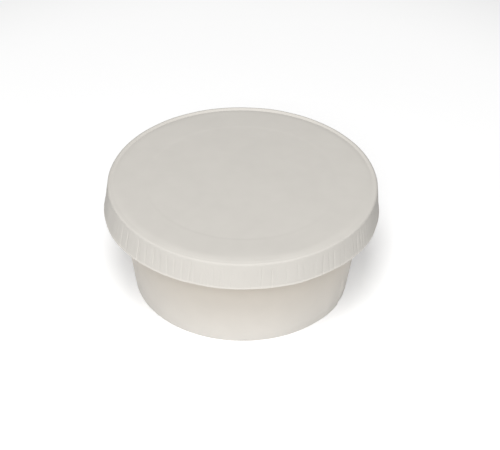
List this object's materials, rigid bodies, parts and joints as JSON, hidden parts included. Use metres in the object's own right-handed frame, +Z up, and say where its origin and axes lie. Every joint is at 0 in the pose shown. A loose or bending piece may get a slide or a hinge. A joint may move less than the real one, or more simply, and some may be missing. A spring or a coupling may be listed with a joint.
{
  "type": "round paper container",
  "caption": "Squat round tub of plain white paperboard, shut by a pressed paper lid with a raised rim and a pleated skirt.",
  "frame": {"origin": "centre of the foot, on the surface that the tub stands on", "axes": "+Z up along the tub's axis, -Y towards the front; the wall's glued seam is right of the front, towards +X"},
  "size_m": [0.1021, 0.1021, 0.0438],
  "materials": {
    "cup_board": "matte, faintly satin",
    "lid_board": "matte"
  },
  "bodies": {
    "root": {"cup": "cup_board", "lid": "lid_board"}
  },
  "joints": []
}
